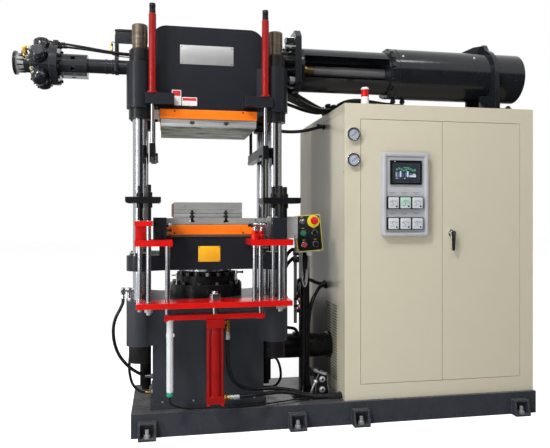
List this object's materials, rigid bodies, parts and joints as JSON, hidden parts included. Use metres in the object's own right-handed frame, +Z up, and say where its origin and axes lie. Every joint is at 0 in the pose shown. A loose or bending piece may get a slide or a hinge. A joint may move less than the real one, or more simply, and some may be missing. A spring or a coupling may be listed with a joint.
{
  "type": "compression molding machine",
  "caption": "Four-column hydraulic press that moulds rubber parts, with screw feeder, injection cylinder, front ejector, control cabinet and button station on one base",
  "frame": {"origin": "on the floor, under the centre of the platens and the four columns", "axes": "+X right along the base towards the cabinet, +Y from the front to the back, +Z up"},
  "size_m": [3.435, 1.576, 2.617],
  "materials": {
    "frame_paint": "semi-gloss charcoal blue enamel",
    "black_steel": "semi-gloss black",
    "red_paint": "gloss red enamel",
    "orange_paint": "satin orange enamel",
    "polished_steel": "hard chromed and ground",
    "bronze": "dark turned bronze",
    "plate_steel": "ground tool steel, lightly stained by heat",
    "beige_paint": "fine textured beige enamel",
    "grey_paint": "satin light grey enamel",
    "zinc": "bright zinc plate",
    "chrome": "bright chrome",
    "black_plastic": "fine textured",
    "screen_black": "gloss front sheet",
    "beacon_plastic": "clear moulded lens",
    "tank_paint": "grey blue enamel",
    "motor_paint": "blue enamel",
    "red_plastic": "moulded",
    "green_plastic": "moulded",
    "white_plastic": "moulded",
    "sensor_tube": "clear anodised",
    "hose_rubber": "smooth"
  },
  "bodies": {
    "root": {"base_frame": "frame_paint", "levelling_feet": "zinc", "lower_beam": "frame_paint", "press_cylinders": "black_steel", "prefill_pipe": "black_steel", "tie_columns": "polished_steel", "column_nuts": "black_steel", "column_caps": "bronze", "crown": "frame_paint", "upper_cover": "orange_paint", "upper_heating_plate": "plate_steel", "lift_cylinders": "red_paint", "injection_flange": "frame_paint", "guide_tube": "frame_paint", "injection_cylinder": "frame_paint", "guide_bush": "bronze", "feed_barrel": "frame_paint", "bearing_housing": "frame_paint", "screw_motor": "black_steel", "cabinet_shell": "beige_paint", "pressure_gauges": "chrome", "beacon": "beacon_plastic", "oil_tank": "tank_paint", "pump_motor": "motor_paint", "switch_plate": "zinc", "station_post": "black_steel", "station_box": "grey_paint", "hydraulic_hoses": "hose_rubber", "ejector_hoses": "hose_rubber"},
    "platen": {"moving_platen": "frame_paint", "press_rams": "polished_steel", "lower_cover": "orange_paint", "lower_heating_plate": "plate_steel", "mould_block": "plate_steel", "ejector_brackets": "red_paint", "ejector_guide_blocks": "frame_paint", "ejector_crossbar": "red_paint", "ejector_cylinder": "red_paint", "position_sensor": "sensor_tube"},
    "ejector": {"ejector_plate": "red_paint", "ejector_rods": "polished_steel", "ejector_yokes": "black_steel"},
    "lift_left": {"lift_rod_left": "polished_steel", "lift_arm_left": "black_steel"},
    "lift_right": {"lift_rod_right": "polished_steel", "lift_arm_right": "black_steel"},
    "plunger": {"injection_plunger": "polished_steel"},
    "screw": {"feed_screw": "polished_steel"},
    "left_door": {"door_left": "beige_paint", "control_panel": "grey_paint", "panel_screen": "screen_black", "panel_meters": "black_plastic"},
    "right_door": {"door_right": "beige_paint"},
    "handle": {"door_handle": "chrome"},
    "selector": {"selector_knob": "white_plastic"},
    "emergency": {"emergency_button": "red_plastic"},
    "start": {"start_button": "green_plastic"},
    "stop": {"stop_button": "red_plastic"},
    "jog_up": {"jog_up_button": "black_plastic"},
    "jog_down": {"jog_down_button": "black_plastic"}
  },
  "joints": [
    {"name": "platen_slide", "type": "slide", "parent": "root", "child": "platen", "axis": [0, 0, 1], "range_m": [0, 0.46], "deforming": ["ejector_hoses"]},
    {"name": "ejector_slide", "type": "slide", "parent": "platen", "child": "ejector", "axis": [0, 0, 1], "range_m": [0, 0.3]},
    {"name": "lift_left_slide", "type": "slide", "parent": "root", "child": "lift_left", "axis": [0, 0, 1], "range_m": [-0.11, 0.15]},
    {"name": "lift_right_slide", "type": "slide", "parent": "root", "child": "lift_right", "axis": [0, 0, 1], "range_m": [-0.11, 0.15]},
    {"name": "plunger_slide", "type": "slide", "parent": "root", "child": "plunger", "axis": [1, 0, 0], "range_m": [0, 0.45]},
    {"name": "screw_turn", "type": "hinge", "parent": "root", "child": "screw", "pos_m": [-0.6, 0, 2.302], "axis": [1, 0, 0], "continuous": true},
    {"name": "left_door_hinge", "type": "hinge", "parent": "root", "child": "left_door", "pos_m": [0.9829, -0.2941, 1.1], "axis": [0, 0, -1], "range_deg": [0, 100]},
    {"name": "right_door_hinge", "type": "hinge", "parent": "root", "child": "right_door", "pos_m": [2.1001, -0.2941, 1.1], "axis": [0, 0, 1], "range_deg": [0, 110]},
    {"name": "handle_turn", "type": "hinge", "parent": "right_door", "child": "handle", "pos_m": [1.6015, -0.301, 1.224], "axis": [0, 1, 0], "range_deg": [0, 90]},
    {"name": "selector_turn", "type": "hinge", "parent": "root", "child": "selector", "pos_m": [0.6045, -0.2196, 1.2988], "axis": [0.0085, 0.9903, -0.1389], "range_deg": [-45, 45]},
    {"name": "emergency_press", "type": "slide", "parent": "root", "child": "emergency", "axis": [0.0085, 0.9903, -0.1389], "range_m": [0, 0.005], "stiffness_N_per_m": 400, "springref_m": -0.002},
    {"name": "start_press", "type": "slide", "parent": "root", "child": "start", "axis": [0.0085, 0.9903, -0.1389], "range_m": [0, 0.005], "stiffness_N_per_m": 400, "springref_m": -0.002},
    {"name": "jog_up_press", "type": "slide", "parent": "root", "child": "jog_up", "axis": [0.0085, 0.9903, -0.1389], "range_m": [0, 0.005], "stiffness_N_per_m": 400, "springref_m": -0.002},
    {"name": "stop_press", "type": "slide", "parent": "root", "child": "stop", "axis": [0.0085, 0.9903, -0.1389], "range_m": [0, 0.005], "stiffness_N_per_m": 400, "springref_m": -0.002},
    {"name": "jog_down_press", "type": "slide", "parent": "root", "child": "jog_down", "axis": [0.0085, 0.9903, -0.1389], "range_m": [0, 0.005], "stiffness_N_per_m": 400, "springref_m": -0.002}
  ],
  "couplings": [
    {"joint": "lift_right_slide", "follows": "lift_left_slide", "ratio": 1}
  ]
}
